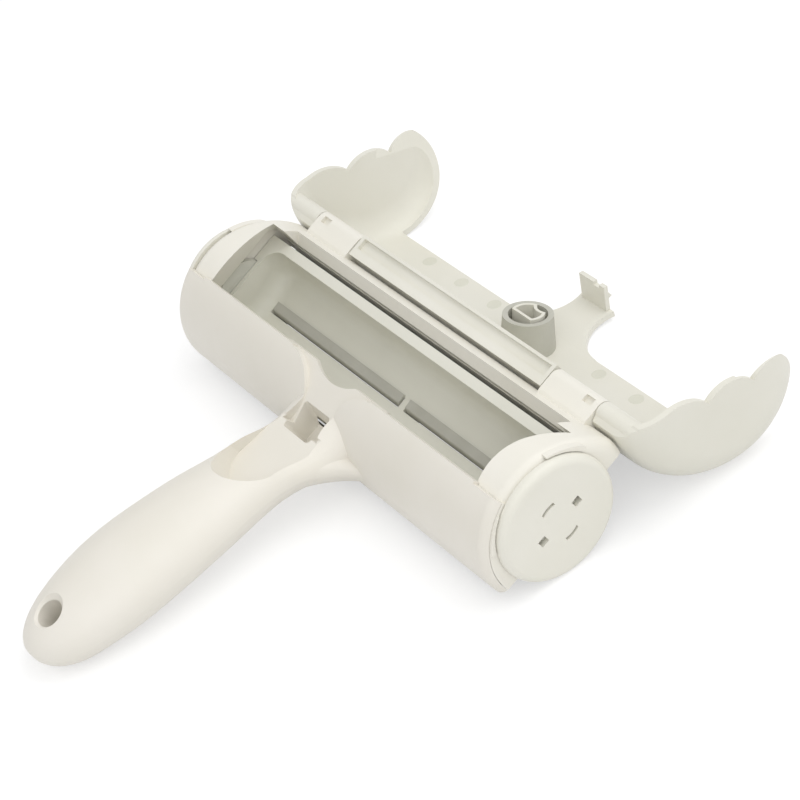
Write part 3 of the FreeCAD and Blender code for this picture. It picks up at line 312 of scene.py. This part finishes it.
def pile_strip(name, start, stop, along=440, across=64):
    """Grid round the drum: the drum's radius, plus pile times a border roll, less ribs and tufts."""
    u, v = np.meshgrid(np.linspace(-1, 1, along), np.linspace(0, 1, across), indexing="ij")
    arc = math.radians(stop - start) * DRUM_RADIUS
    border = np.minimum(STRIP_HALF * (1 - np.abs(u)), arc * np.minimum(v, 1 - v))
    roll = np.sqrt(1 - (1 - np.clip(border / BORDER_ROLL, 0, 1)) ** 2)
    ribs = np.sin(u * 311.0 + 3 * np.sin(v * 23.0))
    tufts = np.sin(v * 97.0 + 2 * np.sin(u * 57.0))
    wave = 0.5 + 0.25 * ribs + 0.25 * tufts
    radius = DRUM_RADIUS + GLUE_GAP + roll * (PILE - TUFT_DEPTH * wave)
    angle = np.radians(start + (stop - start) * v)
    points = head_point(u * STRIP_HALF, radius * np.cos(angle), DRUM_AXIS_Z + radius * np.sin(angle))
    index = np.arange(along * across).reshape(along, across)
    quads = np.stack([index[:-1, :-1], index[1:, :-1], index[1:, 1:], index[:-1, 1:]], axis=-1)
    mesh = bpy.data.meshes.new(name)
    mesh.from_pydata(points.reshape(-1, 3).tolist(), [], quads.reshape(-1, 4).tolist())
    mesh.polygons.foreach_set("use_smooth", np.ones(len(mesh.polygons), dtype=bool))
    mesh.update()
    strip = bpy.data.objects.new(name, mesh)
    bpy.context.scene.collection.objects.link(strip)
    strip.data.materials.append(lint_pile)
    return strip, arc


STRIP_ANGLES = (("front", 196.0, 260.5), ("rear", 279.5, 344.0))
for side, start, stop in STRIP_ANGLES:
    strip, arc = pile_strip("pile_strip_" + side, start, stop)
    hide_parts("lint_cloth_" + side)
    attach(strip, "drum")
    print(strip.name, "arc", round(arc * 1000, 1), "mm")

# %% [markdown]
# ## Marks inside the lid
# Ejector pins leave round marks inside a moulded lid. The picture shows them as faint round
# spots along the lid's inner face, so each is a shallow disc with a soft rim, laid on the
# inner curve.

# %% Pin marks
LID_CENTRE_Y, LID_CENTRE_Z, LID_INNER = 0.0029747, -0.0087019, 0.0382935
MARK_RADIUS = 0.0026
MARK_ANGLE = 98.5
MARK_PLACES = (0.030, 0.050, 0.070)


def pin_marks(name, places, around=40):
    """Discs from a profile of radius and height turned round, and bent onto the lid's inner circle."""
    reach = MARK_RADIUS * np.array([0.0, 0.45, 0.8, 0.92, 1.0, 1.08])
    proud = np.array([0.00004, 0.00004, 0.00005, 0.00012, 0.00009, -0.00012])
    turn = np.linspace(0, 2 * np.pi, around, endpoint=False)
    step = np.stack([reach[:, None] * np.cos(turn), reach[:, None] * np.sin(turn)], axis=-1)
    index = np.arange(reach.size * around).reshape(reach.size, around)
    ahead = np.roll(index, -1, axis=1)
    quads = np.stack([index[:-1], index[1:], ahead[1:], ahead[:-1]], axis=-1).reshape(-1, 4)
    verts, faces = [], []
    for count, (x, degrees) in enumerate(places):
        angle = math.radians(degrees) + step[..., 1] / LID_INNER
        radius = LID_INNER - proud[:, None]
        verts.append(lid_point(x + step[..., 0], LID_CENTRE_Y + radius * np.cos(angle),
                               LID_CENTRE_Z + radius * np.sin(angle)).reshape(-1, 3))
        faces.append(quads + count * index.size)
    mesh = bpy.data.meshes.new(name)
    mesh.from_pydata(np.concatenate(verts).tolist(), [], np.concatenate(faces).tolist())
    mesh.polygons.foreach_set("use_smooth", np.ones(len(mesh.polygons), dtype=bool))
    mesh.update()
    marks = bpy.data.objects.new(name, mesh)
    bpy.context.scene.collection.objects.link(marks)
    return marks


mark_plastic = satin_plastic("mark_plastic", (214, 213, 199), (221, 220, 207), gloss=0.34)
MARKS = [(side * x, MARK_ANGLE) for side in (-1, 1) for x in MARK_PLACES]
lid_marks = pin_marks("lid_pin_marks", MARKS)
lid_marks.data.materials.append(mark_plastic)
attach(lid_marks, "lid")
print("pin marks:", len(MARKS))

# %% [markdown]
# ## Table and light
# The picture has a pure white ground with only a faint shadow. The floor looks white to the
# camera, but to the object it stays a plain pale table, so its bounce light is real and the
# shadow under the brush is kept.

# %% Floor and lights
def floor_sheet(name, half):
    """Square sheet: four corners at plus and minus half, facing up."""
    corners = np.array([[-half, -half, 0], [half, -half, 0], [half, half, 0], [-half, half, 0]])
    mesh = bpy.data.meshes.new(name)
    mesh.from_pydata(corners.tolist(), [], [(0, 1, 2, 3)])
    sheet = bpy.data.objects.new(name, mesh)
    bpy.context.scene.collection.objects.link(sheet)
    return sheet


table = floor_sheet("table_top", 6.0)
table_finish, table_tree, table_shader = new_finish("table_paper")
table_shader.inputs["Base Color"].default_value = (0.86, 0.86, 0.86, 1.0)
table_shader.inputs["Roughness"].default_value = 0.9


def seen_white(tree, shader, share, strength):
    """Where a camera, glossy or glass ray meets the paper, a share of plain white is mixed in."""
    rays = tree.nodes.new("ShaderNodeLightPath")
    either = tree.nodes.new("ShaderNodeMath")
    either.operation = "MAXIMUM"
    tree.links.new(rays.outputs["Is Camera Ray"], either.inputs[0])
    tree.links.new(rays.outputs["Is Glossy Ray"], either.inputs[1])
    any_ray = tree.nodes.new("ShaderNodeMath")
    any_ray.operation = "MAXIMUM"
    tree.links.new(either.outputs["Value"], any_ray.inputs[0])
    tree.links.new(rays.outputs["Is Transmission Ray"], any_ray.inputs[1])
    part = tree.nodes.new("ShaderNodeMath")
    part.operation = "MULTIPLY"
    part.inputs[1].default_value = share
    tree.links.new(any_ray.outputs["Value"], part.inputs[0])
    white = tree.nodes.new("ShaderNodeEmission")
    white.inputs["Strength"].default_value = strength
    mix = tree.nodes.new("ShaderNodeMixShader")
    tree.links.new(part.outputs["Value"], mix.inputs["Fac"])
    tree.links.new(shader.outputs["BSDF"], mix.inputs[1])
    tree.links.new(white.outputs["Emission"], mix.inputs[2])
    tree.links.new(mix.outputs["Shader"], tree.nodes["Material Output"].inputs["Surface"])


seen_white(table_tree, table_shader, 0.38, 1.4)
table.data.materials.append(table_finish)

world = bpy.data.worlds.new("studio")
bpy.context.scene.world = world
world.use_nodes = True
world.node_tree.nodes["Background"].inputs["Color"].default_value = (1.0, 1.0, 1.0, 1.0)
world.node_tree.nodes["Background"].inputs["Strength"].default_value = 0.64


def softbox(name, place, target, size, power):
    """Square lamp of a size in metres that faces a target point."""
    data = bpy.data.lights.new(name, "AREA")
    data.size = size
    data.energy = power
    lamp = bpy.data.objects.new(name, data)
    lamp.location = place
    lamp.rotation_euler = (Vector(target) - Vector(place)).to_track_quat("-Z", "Y").to_euler()
    bpy.context.scene.collection.objects.link(lamp)


softbox("key_softbox", (0.2, 0.5, 1.05), (0, 0, 0), 0.9, 4.6)
softbox("fill_softbox", (0.75, -0.3, 0.85), (0, 0, 0), 1.0, 3.0)
softbox("front_softbox", (0.1, -0.85, 0.8), (0, 0, 0), 1.0, 1.0)
bpy.context.scene.view_settings.view_transform = "Standard"
